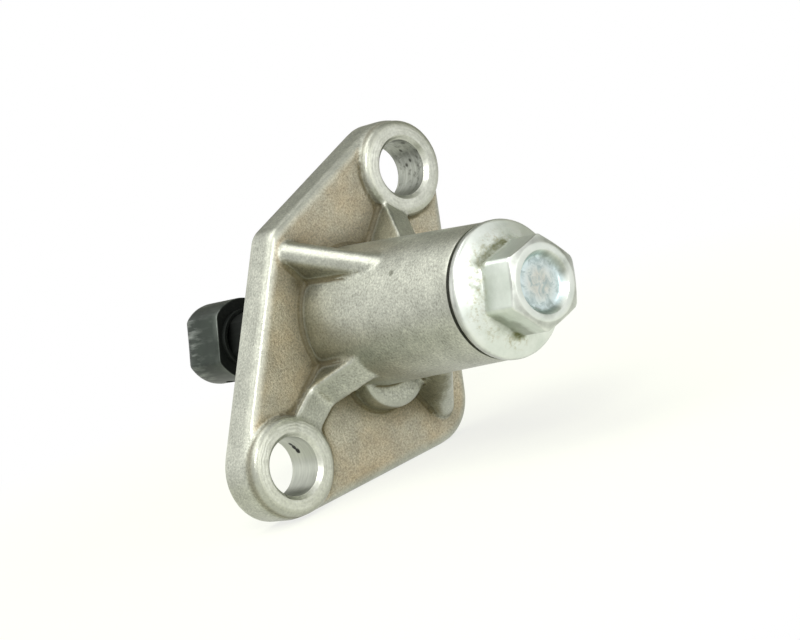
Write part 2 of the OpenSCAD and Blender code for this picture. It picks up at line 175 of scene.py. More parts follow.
# Stage: the table, its shadow, a card beside the part, the lamps (name, place, size, power) and the camera
FLOOR_HALF = 1500
SHADOW_REACH = (60, 150)
CARD_X = 420
CARD_Y = (-320, 2000)
CARD_TOP_Z = 1500
LAMPS = [
    ("key_soft_box", (0, -570, 70), 380, 0.78), ("side_soft_box", (-308, -336, 325), 140, 1.0),
    ("top_soft_box", (-230, 120, 540), 480, 1.66), ("back_soft_box", (-310, 420, 170), 260, 0.12)]
CAMERA_PLACE = (-220.85, -289.90, 44.19)
CAMERA_RIGHT = (0.70876, -0.62324, -0.33049)
CAMERA_UP = (0.33584, -0.11389, 0.93501)
CAMERA_LENS = 108.98
SENSOR_W = 36


def linear(hex_colour):
    """Linear RGBA of an sRGB hex colour."""
    channels = [int(hex_colour[i:i + 2], 16) / 255 for i in (1, 3, 5)]
    return [c / 12.92 if c <= 0.04045 else ((c + 0.055) / 1.055) ** 2.4 for c in channels] + [1.0]


def per_mm(size):
    """Scale of a pattern whose features are that many millimetres across."""
    return 1 / (size * MM)


def feed(tree, node, inputs):
    """Sets a node's sockets, given as values, hex colours, outputs, or nodes whose first output counts."""
    for key, value in inputs.items():
        if isinstance(value, bpy.types.Node):
            value = next(output for output in value.outputs if output.enabled)
        if isinstance(value, bpy.types.NodeSocket):
            tree.links.new(value, node.inputs[key])
        elif isinstance(value, str):
            node.inputs[key].default_value = linear(value)
        else:
            node.inputs[key].default_value = value


def add(tree, kind, inputs=None, **settings):
    """Adds one node with its settings and its sockets."""
    node = tree.nodes.new(kind)
    for name, value in settings.items():
        setattr(node, name, value)
    feed(tree, node, inputs or {})
    return node


def new_material(name):
    """Empty node material and its tree."""
    material = bpy.data.materials.new(name)
    material.use_nodes = True
    material.node_tree.nodes.clear()
    return material, material.node_tree


# Meshes

def mesh_object(name, bm):
    """Object at the origin with the built mesh, its normals pointing out."""
    bmesh.ops.recalc_face_normals(bm, faces=bm.faces)
    mesh = bpy.data.meshes.new(name)
    bm.to_mesh(mesh)
    bm.free()
    obj = bpy.data.objects.new(name, mesh)
    bpy.context.scene.collection.objects.link(obj)
    return obj


def revolve(name, profile, sides=96, centre=(0, 0), start=0.0):
    """Closed solid about the Y axis through the centre, in millimetres.

    The profile gives, for an angle, the points [radius, y, wear] from one pole to the other.
    Wear is kept as an attribute for the worn edges of a finish.
    """
    bm = bmesh.new()
    wear_layer = bm.verts.layers.float.new("wear")
    columns = []
    for i in range(sides):
        angle = start + 2 * math.pi * i / sides
        column = []
        points = profile(angle)
        for j, (r, y, wear) in enumerate(points):
            if i > 0 and j in (0, len(points) - 1):
                column.append(columns[0][j])
                continue
            place = (centre[0] + r * math.cos(angle), y, centre[1] + r * math.sin(angle))
            vert = bm.verts.new(Vector(place) * MM)
            vert[wear_layer] = wear
            column.append(vert)
        columns.append(column)
    for left, right in zip(columns, columns[1:] + columns[:1]):
        for j in range(len(left) - 1):
            corners = [left[j], left[j + 1], right[j + 1], right[j]]
            bm.faces.new(list(dict.fromkeys(corners)))
    return mesh_object(name, bm)


def turned(points):
    """The same profile at every angle, from its [radius, y] points."""
    return lambda angle: [(r, y, 0.0) for r, y in points]


def block(name, low, high, turn=0.0):
    """Box between two corners, turned about the Y axis from X towards Z."""
    bm = bmesh.new()
    bmesh.ops.create_cube(bm, size=1.0)
    centre = (Vector(low) + Vector(high)) / 2
    for v in bm.verts:
        v.co = Matrix.Rotation(-turn, 3, "Y") @ ((Vector(v.co) * (Vector(high) - Vector(low))) + centre) * MM
    return mesh_object(name, bm)


def combine(obj, other, operation):
    """Joins another solid to the piece, or cuts it away, and removes the other."""
    boolean = obj.modifiers.new("combine", "BOOLEAN")
    boolean.operation = operation
    boolean.solver = "EXACT"
    boolean.object = other
    settle(obj)
    bpy.data.objects.remove(other)


def settle(obj):
    """Turns the piece with its modifiers into a plain mesh."""
    graph = bpy.context.evaluated_depsgraph_get()
    mesh = bpy.data.meshes.new_from_object(obj.evaluated_get(graph))
    obj.modifiers.clear()
    obj.data = mesh


def shade(obj, sharp_degrees):
    """Smooth shading that keeps the edges steeper than the angle."""
    for face in obj.data.polygons:
        face.use_smooth = True
    obj.data.set_sharp_from_angle(angle=math.radians(sharp_degrees))


def stand_in_for(obj, node, body):
    """The finished piece takes the place of a plain solid and rides on its body."""
    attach(obj, body)
    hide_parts(node)


# Casting

def bends(mesh):
    """How sharply the skin bends at each vertex, per millimetre: above 0 at edges, below 0 in corners."""
    count = len(mesh.vertices)
    places, normals = np.empty(3 * count), np.empty(3 * count)
    mesh.vertices.foreach_get("co", places)
    mesh.vertices.foreach_get("normal", normals)
    places, normals = places.reshape(-1, 3) / MM, normals.reshape(-1, 3)
    ends = np.empty(2 * len(mesh.edges), dtype=np.int32)
    mesh.edges.foreach_get("vertices", ends)
    a, b = ends.reshape(-1, 2).T
    run = places[b] - places[a]
    scale = 2 / np.maximum((run ** 2).sum(axis=1), 1e-6)
    drop_a = -(run * normals[a]).sum(axis=1) * scale
    drop_b = (run * normals[b]).sum(axis=1) * scale
    edges_at = np.bincount(ends, minlength=count)
    bend = (np.bincount(a, drop_a, count) + np.bincount(b, drop_b, count)) / edges_at
    bend = np.clip(bend, -BEND_LIMIT, BEND_LIMIT)
    for _ in range(BEND_SPREAD):
        bend = (np.bincount(a, bend[b], count) + np.bincount(b, bend[a], count)) / edges_at
    return bend


def even_out_edges(casting):
    """Smooths the outer edges a little more, where remeshing leaves small steps."""
    sharp = np.flatnonzero(bends(casting.data) > EDGE_BEND)
    casting.vertex_groups.new(name="edges").add(sharp.tolist(), 1.0, "REPLACE")
    smooth = casting.modifiers.new("smooth", "SMOOTH")
    smooth.vertex_group = "edges"
    smooth.factor = 0.5
    smooth.iterations = EDGE_SMOOTHING
    settle(casting)
    casting.vertex_groups.clear()


def make_casting():
    """Housing as it leaves the mould and the machine shop.

    The solid is closed up, remeshed and smoothed, which gives it a casting's run-in corners.
    Then the machined faces, holes, pilot and bore are cut sharp.
    """
    raw_end_y = BARREL_END_Y - RAW_STOCK
    bm = bmesh.new()
    bm.from_mesh(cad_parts["housing"].data)
    touch = 0.001
    bmesh.ops.remove_doubles(bm, verts=bm.verts, dist=touch * MM)
    for v in bm.verts:
        if v.co.y > -touch * MM:
            v.co.y = RAW_STOCK * MM
        elif v.co.y < (BARREL_END_Y + touch) * MM:
            v.co.y = raw_end_y * MM
    casting = mesh_object("cast_housing", bm)
    plugs = [(RAW_PLUG_R, BOSS_Y - BOSS_STOCK, UPPER_BOLT), (RAW_PLUG_R, BOSS_Y - BOSS_STOCK, LOWER_BOLT),
             (BORE_R + 1, raw_end_y, (0, 0))]
    stock = [
        revolve("stock", turned([(0, RAW_STOCK), (r, RAW_STOCK), (r, end_y), (0, end_y)]), centre=centre)
        for r, end_y, centre in plugs]
    bm = bmesh.new()
    for obj in [casting] + stock:
        bm.from_mesh(obj.data)
    bm.to_mesh(casting.data)
    bm.free()
    for obj in stock:
        bpy.data.objects.remove(obj)

    remesh = casting.modifiers.new("remesh", "REMESH")
    remesh.mode = "VOXEL"
    remesh.voxel_size = CAST_VOXEL * MM
    smooth = casting.modifiers.new("smooth", "SMOOTH")
    smooth.factor = 0.5
    smooth.iterations = CAST_SMOOTHING
    settle(casting)
    even_out_edges(casting)

    far, deep = 60, 10
    combine(casting, block("back_cut", (-far, 0, -far), (far, deep, far)), "DIFFERENCE")
    end_cut = block("end_cut", (-far, BARREL_END_Y - deep, -far), (far, BARREL_END_Y, far))
    combine(casting, end_cut, "DIFFERENCE")
    root = -1.0
    combine(casting, revolve("pilot", turned([
        (0, root), (PILOT_R, root), (PILOT_R, SEAL_GROOVE_Y[0]), (SEAL_GROOVE_R, SEAL_GROOVE_Y[0]),
        (SEAL_GROOVE_R, SEAL_GROOVE_Y[1]), (PILOT_R, SEAL_GROOVE_Y[1]), (PILOT_R, PILOT_LEN - PILOT_CHAMFER),
        (PILOT_R - PILOT_CHAMFER, PILOT_LEN), (0, PILOT_LEN)]), sides=128), "UNION")
    past = 12
    combine(casting, revolve("bore", turned([
        (0, past), (MOUTH_R, past), (MOUTH_R, SNAP_GROOVE_Y[1]), (SNAP_GROOVE_R, SNAP_GROOVE_Y[1]),
        (SNAP_GROOVE_R, SNAP_GROOVE_Y[0]), (MOUTH_R, SNAP_GROOVE_Y[0]), (MOUTH_R, MOUTH_Y), (BORE_R, MOUTH_Y),
        (BORE_R, BORE_FLOOR_Y), (PLUG_HOLE_R, BORE_FLOOR_Y), (PLUG_HOLE_R, BARREL_END_Y - past),
        (0, BARREL_END_Y - past)]), sides=128), "DIFFERENCE")
    for i in range(EAR_COUNT):
        turn = math.pi / 2 + i * 2 * math.pi / EAR_COUNT
        notch = block("notch", (BORE_R, MOUTH_Y, -EAR_W / 2), (EAR_R, past, EAR_W / 2), turn)
        combine(casting, notch, "DIFFERENCE")
    behind = 3
    for centre in (UPPER_BOLT, LOWER_BOLT):
        combine(casting, revolve("bolt_hole", turned([
            (0, behind), (BOLT_HOLE_R, behind), (BOLT_HOLE_R, BOSS_Y + HOLE_CHAMFER),
            (BOLT_HOLE_R + HOLE_CHAMFER, BOSS_Y), (SPOT_FACE_R, BOSS_Y), (SPOT_FACE_R, BOSS_Y - past),
            (0, BOSS_Y - past)]), sides=128, centre=centre), "DIFFERENCE")
    return casting


def mark_shelter(casting):
    """Keeps at each vertex how far the walls around it close it in, from 0 in the open to 1."""
    mesh = casting.data
    solid = BVHTree.FromPolygons([v.co for v in mesh.vertices], [list(f.vertices) for f in mesh.polygons])
    golden = math.pi * (3 - math.sqrt(5))
    rays = []
    for k in range(SHELTER_RAYS):
        rise = math.sqrt(1 - (k + 0.5) / SHELTER_RAYS)
        spread = math.sqrt(1 - rise * rise)
        rays.append(Vector((spread * math.cos(k * golden), spread * math.sin(k * golden), rise)))
    reach, lift = SHELTER_REACH * MM, 0.02 * MM
    shelter = []
    for vert in mesh.vertices:
        turn = Vector((0, 0, 1)).rotation_difference(vert.normal).to_matrix()
        start = vert.co + vert.normal * lift
        closed = 0
        for ray in rays:
            distance = solid.ray_cast(start, turn @ ray, reach)[3]
            if distance is not None:
                closed += 1 - distance / reach
        shelter.append(closed / SHELTER_RAYS)
    mesh.attributes.new("shelter", "FLOAT", "POINT").data.foreach_set("value", shelter)


def to_bolt(place):
    """Distance in millimetres from a place to the nearer bolt hole's axis."""
    return min(math.hypot(place.x / MM - x, place.z / MM - z) for x, z in (UPPER_BOLT, LOWER_BOLT))


def finish_faces(casting, cast, faced, drilled, turned_finish):
    """Gives each face of the casting the finish of the process that made it."""
    for material in (cast, faced, drilled, turned_finish):
        casting.data.materials.append(material)
    near = 0.02
    for face in casting.data.polygons:
        y = face.center.y / MM
        off_bolt = to_bolt(face.center)
        off_axis = math.hypot(face.center.x, face.center.z) / MM
        if y < BOSS_Y + HOLE_CHAMFER - near and off_bolt < SPOT_FACE_R - near:
            face.material_index = 1
        elif off_bolt < BOLT_HOLE_R + near:
            face.material_index = 2
        elif y > -near or off_axis < BORE_R + near and y > BARREL_END_Y + near:
            face.material_index = 3
        else:
            face.material_index = 0


# Threads

def thread_cut(y, angle, lead, starts, steepness):
    """Depth of a right-hand thread's groove at a place, from 0 on its crest to 1 at its root."""
    turn = (starts * (y / lead + angle / (2 * math.pi))) % 1
    return min(1, max(0, 0.5 + steepness * (0.25 - abs(turn - 0.5))))


def thread_rows(start, end, radius, groove, cut):
    """Points of a threaded stretch along the axis, where the groove fades out at both ends."""
    count = round(abs(end - start) / THREAD_ROW)
    rows = []
    for step in range(count + 1):
        share = step / count
        along = start + (end - start) * share
        fade = min(1, THREAD_FADE * share, THREAD_FADE * (1 - share))
        rows.append((radius - groove * fade * cut(along), along, 0))
    return rows


# Plug bolt

def soft_hex(angle):
    """Distance of the hexagon's wall from the axis, with its corners slightly rounded."""
    off_flat = (angle - HEX_TURN) % (math.pi / 3) - math.pi / 6
    return min(HEX_FLAT_R / math.cos(off_flat), HEX_CORNER_R - HEX_CORNER_EASE)


def bolt_profile(angle):
    """Flange bolt from the end of its shank to the floor of its dished head.

    Its points are (radius, height, wear), and the small steps off the main sizes round the edges.
    """
    wall = soft_hex(angle)
    seat_r, cone_r = BOLT_FLANGE_R - 0.3, BOLT_FLANGE_R - 0.45
    floor_r, floor = DISH_FLOOR_R - 0.3, BOLT_TOP - DISH_DEPTH

    def cone(r):
        return BOLT_RIM + CONE_RISE * (seat_r - r) / (seat_r - CONE_TOP_R)

    def chamfer(r):
        return BOLT_TOP - HEX_CHAMFER * (r - HEAD_RING_R) / (HEX_CORNER_R - HEAD_RING_R)

    def shank_cut(height):
        return thread_cut(-height, angle, SHANK_PITCH, 1, 2)

    heights = [(0, SHANK_END, 0), (SHANK_R - 1, SHANK_END, 0)]
    heights += thread_rows(SHANK_END + 0.9, BOLT_SEAT - 0.9, SHANK_R, SHANK_GROOVE, shank_cut)
    heights += [
        (SHANK_R, BOLT_SEAT, 0),
        (seat_r, BOLT_SEAT, 0), (BOLT_FLANGE_R - 0.08, BOLT_SEAT + 0.08, 0.6),
        (BOLT_FLANGE_R, BOLT_SEAT + 0.3, 0.2), (BOLT_FLANGE_R, BOLT_RIM - 0.4, 0.2),
        (BOLT_FLANGE_R - 0.06, BOLT_RIM - 0.16, 0.8), (BOLT_FLANGE_R - 0.2, BOLT_RIM - 0.02, 1),
        (cone_r, cone(cone_r), 0.4)]
    for step in range(1, CONE_RINGS + 1):
        r = cone_r + (wall + 0.5 - cone_r) * step / CONE_RINGS
        heights.append((r, cone(r), 0))
    heights += [
        (wall + 0.22, cone(wall) + 0.06, 0), (wall + 0.07, cone(wall) + 0.2, 0), (wall, cone(wall) + 0.5, 0),
        (wall, chamfer(wall) - 0.3, 0), (wall - 0.02, chamfer(wall) - 0.1, 0.8),
        (wall - 0.1, chamfer(wall - 0.1), 1)]
    for share in (0.35, 0.7):
        r = wall - 0.1 + (HEAD_RING_R + 0.2 - wall) * share
        heights.append((r, chamfer(r), 0.3))
    heights += [
        (HEAD_RING_R + 0.12, chamfer(HEAD_RING_R + 0.12), 0.8), (HEAD_RING_R - 0.12, BOLT_TOP, 0.8),
        (DISH_R + 0.3, BOLT_TOP, 0.2), (DISH_R + 0.1, BOLT_TOP - 0.03, 0.9), (DISH_R, BOLT_TOP - 0.15, 0.6),
        (DISH_FLOOR_R + 0.15, floor + 0.2, 0), (DISH_FLOOR_R, floor + 0.06, 0), (floor_r, floor, 0)]
    for step in range(1, DISH_RINGS):
        r = floor_r * (1 - step / DISH_RINGS)
        place = Vector((r * math.cos(angle), 0, r * math.sin(angle)))
        heights.append((r, floor + DISH_LUMPS * noise.noise(place / DISH_LUMP_SIZE), 0))
    heights.append((0, floor, 0))
    return [(r, -height, wear) for r, height, wear in heights]


# Plunger's cap

def cap_outline(angle):
    """Distance of the cap's wall from the axis: round, with two flats and softened corners."""
    across = abs(math.cos(angle - FLAT_TURN))
    flat = CAP_HALF_FLAT / max(across, 0.2)
    soft = 80
    return (CAP_R ** -soft + flat ** -soft) ** (-1 / soft)


def cap_profile(angle):
    """Cap from the floor of its hole, round its neck and back edge, to the middle of its tip."""
    wall = cap_outline(angle)
    return [
        (0, CAP_HOLE_Y, 0), (CAP_HOLE_R, CAP_HOLE_Y, 0), (CAP_HOLE_R, NECK_Y, 0), (NECK_R - 0.1, NECK_Y, 0.2),
        (NECK_R, NECK_Y + 0.1, 0.2), (NECK_R, CAP_BACK_Y, 0), (wall - 0.25, CAP_BACK_Y, 0),
        (wall - 0.08, CAP_BACK_Y + 0.03, 1), (wall - 0.02, CAP_BACK_Y + 0.09, 1),
        (wall, CAP_BACK_Y + 0.25, 0.3), (wall, CAP_BACK_Y + 1.5, 0), (wall, CAP_TIP_Y - 3.0, 0),
        (wall, CAP_TIP_Y - 1.1, 0.2),
        (wall - 0.06, CAP_TIP_Y - 0.65, 0.5), (wall - 0.25, CAP_TIP_Y - 0.28, 0.9),
        (wall - 0.6, CAP_TIP_Y - 0.05, 1), (wall - 1.0, CAP_TIP_Y, 0.4), (0, CAP_TIP_Y, 0)]


def make_cap():
    cap = revolve("finished_cap", cap_profile, sides=192, start=FLAT_TURN)
    bm = bmesh.new()
    length = 4 * CAP_R * MM
    bmesh.ops.create_cone(bm, cap_ends=True, segments=48, radius1=PIN_HOLE_R * MM, radius2=PIN_HOLE_R * MM,
                          depth=length)
    bm.transform(Matrix.Translation((0, PIN_Y * MM, 0)) @ Matrix.Rotation(-FLAT_TURN, 4, "Y"))
    combine(cap, mesh_object("pin_hole", bm), "DIFFERENCE")
    return cap


# Lead screw and spring

def screw_profile(angle):
    """Lead screw from its tip, along its thread, to the end of its pivot."""
    def groove(y):
        return thread_cut(y, angle, SCREW_LEAD, SCREW_STARTS, 4)

    points = [(0, SCREW_TIP_Y, 0), (SCREW_R - 0.6, SCREW_TIP_Y, 0)]
    points += thread_rows(SCREW_TIP_Y - 0.5, SCREW_NECK_Y + 2, SCREW_R, SCREW_GROOVE, groove)
    edge = 0.25
    points += [
        (SCREW_R, SCREW_NECK_Y, 0), (SCREW_HEAD_R - edge, SCREW_NECK_Y, 0),
        (SCREW_HEAD_R, SCREW_NECK_Y - edge, 0), (SCREW_HEAD_R, SCREW_HEAD_Y + edge, 0),
        (SCREW_HEAD_R - edge, SCREW_HEAD_Y, 0), (PIVOT_R, SCREW_HEAD_Y, 0),
        (PIVOT_R, PIVOT_END_Y + edge, 0), (PIVOT_R - edge, PIVOT_END_Y, 0), (0, PIVOT_END_Y, 0)]
    return points


def make_screw():
    screw = revolve("threaded_lead_screw", screw_profile, sides=96)
    far = 2 * SCREW_HEAD_R
    slot = block("slot", (-far, PIVOT_END_Y - 1, -SLOT_W / 2), (far, SLOT_FLOOR_Y, SLOT_W / 2), HOOK_DIR)
    combine(screw, slot, "DIFFERENCE")
    return screw


def spring_path():
    """Middle of the wire: the hook in the screw's slot, the coils and the tang in the bearing plate."""
    first = math.asin(BEND_R / COIL_R)
    hook_x = COIL_R * math.cos(first) - BEND_R
    last = first + 2 * math.pi * COILS
    bend = [math.pi / 2 * i / BEND_STEPS for i in range(1, BEND_STEPS)]
    path = [(SCREW_R / 2, HOOK_Y, 0), (hook_x, HOOK_Y, 0)]
    path += [(hook_x + BEND_R * math.sin(a), HOOK_Y, BEND_R * (1 - math.cos(a))) for a in bend]
    for i in range(COILS * COIL_STEPS + 1):
        share = i / (COILS * COIL_STEPS)
        angle = first + (last - first) * share
        path.append((COIL_R * math.cos(angle), HOOK_Y * (1 - share), COIL_R * math.sin(angle)))
    tang = [(COIL_R, BEND_R * (1 - math.cos(a)), BEND_R * math.sin(a)) for a in bend]
    tang += [(COIL_R, BEND_R, BEND_R), (COIL_R, TANG_END_Y, BEND_R)]
    path += [Matrix.Rotation(-last, 3, "Y") @ Vector(p) for p in tang]
    return [Matrix.Rotation(-HOOK_DIR, 3, "Y") @ Vector(p) * MM for p in path]


def wire_tree():
    """Node tree that sweeps a round wire along a path of edges."""
    tree = bpy.data.node_groups.new("wound_wire", "GeometryNodeTree")
    sockets = [("Path", "NodeSocketGeometry"), ("Wire radius", "NodeSocketFloat"),
               ("Wire sides", "NodeSocketInt"), ("Finish", "NodeSocketMaterial")]
    for name, kind in sockets:
        tree.interface.new_socket(name, in_out="INPUT", socket_type=kind)
    tree.interface.new_socket("Wire", in_out="OUTPUT", socket_type="NodeSocketGeometry")
    given = add(tree, "NodeGroupInput")
    line = add(tree, "GeometryNodeMeshToCurve", {"Mesh": given.outputs["Path"]})
    section = add(tree, "GeometryNodeCurvePrimitiveCircle", {
        "Resolution": given.outputs["Wire sides"], "Radius": given.outputs["Wire radius"]})
    wire = add(tree, "GeometryNodeCurveToMesh", {
        "Curve": line, "Profile Curve": section, "Fill Caps": True})
    whole = add(tree, "GeometryNodeRealizeInstances", {"Geometry": wire})
    dressed = add(tree, "GeometryNodeSetMaterial", {
        "Geometry": whole, "Material": given.outputs["Finish"]})
    add(tree, "NodeGroupOutput", {"Wire": dressed})
    return tree


def make_spring(finish):
    bm = bmesh.new()
    verts = [bm.verts.new(p) for p in spring_path()]
    for start, end in zip(verts, verts[1:]):
        bm.edges.new((start, end))
    wound = mesh_object("wound_spring", bm)
    tree = wire_tree()
    sweep = wound.modifiers.new("wire", "NODES")
    sweep.node_group = tree
    values = {"Wire radius": WIRE_R * MM, "Wire sides": WIRE_SIDES, "Finish": finish}
    for socket in tree.interface.items_tree:
        if socket.name in values:
            sweep[socket.identifier] = values[socket.name]
    settle(wound)
    return wound


# Finishes

def new_finish(name):
    """Node material with its main shader, and the place on the piece that its patterns read."""
    material, tree = new_material(name)
    shader = add(tree, "ShaderNodeBsdfPrincipled")
    add(tree, "ShaderNodeOutputMaterial", {"Surface": shader})
    return material, tree, shader, add(tree, "ShaderNodeTexCoord").outputs["Object"]


def marks(tree, place, spots, blur):
    """Share of a few ragged marks, given as (x, y, z, radius) in millimetres."""
    ragged = add(tree, "ShaderNodeTexNoise", {"Vector": place, "Scale": per_mm(0.5), "Detail": 3.0})
    share = None
    for x, y, z, radius in spots:
        off = add(tree, "ShaderNodeVectorMath", {0: place, 1: (x * MM, y * MM, z * MM)}, operation="DISTANCE")
        edge = add(tree, "ShaderNodeMath", {0: ragged, 1: radius * MM, 2: off}, operation="MULTIPLY_ADD")
        spot = add(tree, "ShaderNodeMapRange", {
            "Value": edge, "From Min": (1.5 * radius + blur) * MM, "From Max": 1.3 * radius * MM})
        if share:
            spot = add(tree, "ShaderNodeMath", {0: spot, 1: share}, operation="MAXIMUM")
        share = spot
    return share


def row_spots(rows):
    """Spots (x, y, z, radius) spread evenly along rows that follow the hexagon."""
    spots = []
    for off, y, first, last, count, size in rows:
        for i in range(count):
            turn = math.radians(first + (last - first) * i / (count - 1))
            reach = soft_hex(turn) + off
            spots.append((reach * math.cos(turn), y, reach * math.sin(turn), size))
    return spots


def bolt_distance(tree, place):
    """Distance from the nearer bolt hole's axis, in metres, for marks that run round the holes."""
    flat = add(tree, "ShaderNodeVectorMath", {0: place, 1: (1, 0, 1)}, operation="MULTIPLY")
    upper, lower = [
        add(tree, "ShaderNodeVectorMath", {0: flat, 1: (x * MM, 0, z * MM)}, operation="DISTANCE")
        for x, z in (UPPER_BOLT, LOWER_BOLT)]
    return add(tree, "ShaderNodeMath", {0: upper, 1: lower}, operation="MINIMUM")


def axis_distance(tree, place):
    """Distance from the plunger's axis, in metres."""
    flat = add(tree, "ShaderNodeVectorMath", {0: place, 1: (1, 0, 1)}, operation="MULTIPLY")
    return add(tree, "ShaderNodeVectorMath", {0: flat}, operation="LENGTH")


def layered(tree, colour, layers):
    """Colour of a surface under its layers, from the lowest up: the share that each covers and its colour."""
    for share, layer in layers:
        colour = add(tree, "ShaderNodeMix", {"Factor": share, "A": colour, "B": layer}, data_type="RGBA")
    return colour


def cast_aluminium():
    """Die-cast aluminium, shot-blasted: a dull grey skin with a fine sandy grain.

    The flange's face kept the mould's brownish burn marks, and the barrel has a small blow hole.
    """
    material, tree, shader, place = new_finish("die_cast_aluminium")
    grain, stain, blotch = [
        add(tree, "ShaderNodeTexNoise", {
            "Vector": place, "Scale": per_mm(size), "Detail": detail, "Roughness": breakup})
        for size, detail, breakup in ((0.32, 5.0, 0.7), (3.2, 5.0, 0.6), (7.0, 3.0, 0.55))]
    bend = add(tree, "ShaderNodeAttribute", attribute_name="bend").outputs["Fac"]
    shelter = add(tree, "ShaderNodeAttribute", attribute_name="shelter").outputs["Fac"]
    along = add(tree, "ShaderNodeSeparateXYZ", {"Vector": place})
    facing = add(tree, "ShaderNodeSeparateXYZ", {"Vector": add(tree, "ShaderNodeTexCoord").outputs["Normal"]})

    # The burn marks lie on the flange's face and end at its rounded edges.
    level = add(tree, "ShaderNodeMapRange", {
        "Value": along.outputs["Y"], "From Min": (FACE_Y - 1.0) * MM, "From Max": (FACE_Y - 0.3) * MM})
    front = add(tree, "ShaderNodeMapRange", {
        "Value": facing.outputs["Y"], "From Min": -0.75, "From Max": -0.97})
    on_face = add(tree, "ShaderNodeMath", {0: level, 1: front}, operation="MULTIPLY")
    edge = add(tree, "ShaderNodeMapRange", {"Value": bend, "From Min": 0.08, "From Max": 0.4})
    off_edge = add(tree, "ShaderNodeMapRange", {"Value": edge, "To Min": 1.0, "To Max": 0.0})
    open_face = add(tree, "ShaderNodeMath", {0: on_face, 1: off_edge}, operation="MULTIPLY")
    burnt = add(tree, "ShaderNodeMapRange", {
        "Value": blotch, "From Min": 0.35, "From Max": 0.65, "To Min": 0.45, "To Max": 1.0})
    brown = add(tree, "ShaderNodeMath", {0: open_face, 1: burnt}, operation="MULTIPLY")

    # Painted shade and dirt in the corners: darker where the walls close a place in, and along creases. On
    # the flange's face it spreads further than on the ribs and the barrel.
    spread = add(tree, "ShaderNodeMapRange", {"Value": on_face, "To Min": 0.27, "To Max": 0.02})
    hidden = add(tree, "ShaderNodeMapRange", {
        "Value": shelter, "From Min": spread, "From Max": 0.39, "To Max": 0.95})
    crease = add(tree, "ShaderNodeMapRange", {
        "Value": bend, "From Min": -0.1, "From Max": -0.42, "To Max": 0.9})
    deep = add(tree, "ShaderNodeMapRange", {"Value": shelter, "From Min": 0.05, "From Max": 0.13})
    corner = add(tree, "ShaderNodeMath", {0: crease, 1: deep}, operation="MULTIPLY")
    sheltered = add(tree, "ShaderNodeMath", {0: hidden, 1: corner}, operation="MAXIMUM")
    # The painted shade is mostly kept off the raised lands that face the front, on the ribs and the pad.
    raised = add(tree, "ShaderNodeMath", {0: front, 1: on_face}, operation="SUBTRACT")
    shade_kept = add(tree, "ShaderNodeMapRange", {"Value": raised, "To Min": 1.0, "To Max": 0.2})
    left = add(tree, "ShaderNodeMath", {0: sheltered, 1: shade_kept}, operation="MULTIPLY")
    # Painted shade and dirt on the foot rib's flank towards the pad.
    caked_dirt_and_shade = add(tree, "ShaderNodeMapRange", {"Value": marks(tree, place, FOOT_RIB_SHADE_AND_DIRT, 1.2), "To Max": 0.7})
    corner_shade_and_dirt = add(tree, "ShaderNodeMath", {0: left, 1: caked_dirt_and_shade}, operation="MAXIMUM")
    # Painted shade: a narrow dark line runs round the bosses, low on their walls.
    from_wall = add(tree, "ShaderNodeMath", {
        0: bolt_distance(tree, place), 1: (BOSS_R - 0.05) * MM}, operation="SUBTRACT")
    off_wall = add(tree, "ShaderNodeMath", {0: from_wall}, operation="ABSOLUTE")
    by_wall = add(tree, "ShaderNodeMapRange", {
        "Value": off_wall, "From Min": 0.24 * MM, "From Max": 0.05 * MM, "To Max": 0.6})
    line = add(tree, "ShaderNodeMath", {0: by_wall, 1: level}, operation="MULTIPLY")
    painted_shade_and_dirt = add(tree, "ShaderNodeMath", {0: corner_shade_and_dirt, 1: line}, operation="MAXIMUM")
    # The skin under its burn marks, the painted shade and dirt in the corners, and the blow hole.
    skin = layered(tree, "#b0b2a5", [
        (brown, "#b5a98f"), (painted_shade_and_dirt, "#50472a"), (marks(tree, place, CAST_PITS, 0.25), "#7c7e71")])

    # The grain is rubbed down on the edges, and faint stains cloud the whole skin.
    speck = add(tree, "ShaderNodeMapRange", {
        "Value": grain, "From Min": 0.32, "From Max": 0.68, "To Min": 0.6, "To Max": 1.34})
    grainy = add(tree, "ShaderNodeMapRange", {"Value": edge, "To Min": 1.0, "To Max": 0.4})
    speckled = add(tree, "ShaderNodeMix", {
        "Factor": grainy, "A": skin, "B": speck}, data_type="RGBA", blend_type="MULTIPLY")
    cloud = add(tree, "ShaderNodeMapRange", {
        "Value": stain, "From Min": 0.35, "From Max": 0.65, "To Min": 0.89, "To Max": 1.1})
    clouded = add(tree, "ShaderNodeMix", {
        "Factor": 1.0, "A": speckled, "B": cloud}, data_type="RGBA", blend_type="MULTIPLY")
    dull = add(tree, "ShaderNodeMapRange", {
        "Value": blotch, "From Min": 0.3, "From Max": 0.7, "To Min": 0.33, "To Max": 0.42})
    sandy = add(tree, "ShaderNodeMath", {0: on_face, 1: 0.1, 2: dull}, operation="MULTIPLY_ADD")
    duller = add(tree, "ShaderNodeMath", {0: painted_shade_and_dirt, 1: 0.3, 2: sandy}, operation="MULTIPLY_ADD")
    rubbed = add(tree, "ShaderNodeMath", {0: edge, 1: -0.04, 2: duller}, operation="MULTIPLY_ADD")
    bare = add(tree, "ShaderNodeMapRange", {"Value": painted_shade_and_dirt, "To Min": 1.0, "To Max": 0.15})
    rough = add(tree, "ShaderNodeMapRange", {"Value": open_face, "To Min": 0.35, "To Max": 1.0})
    bump = add(tree, "ShaderNodeBump", {"Strength": rough, "Distance": 0.12 * MM, "Height": grain})
    feed(tree, shader, {"Base Color": clouded, "Roughness": rubbed, "Metallic": bare, "Normal": bump})
    return material


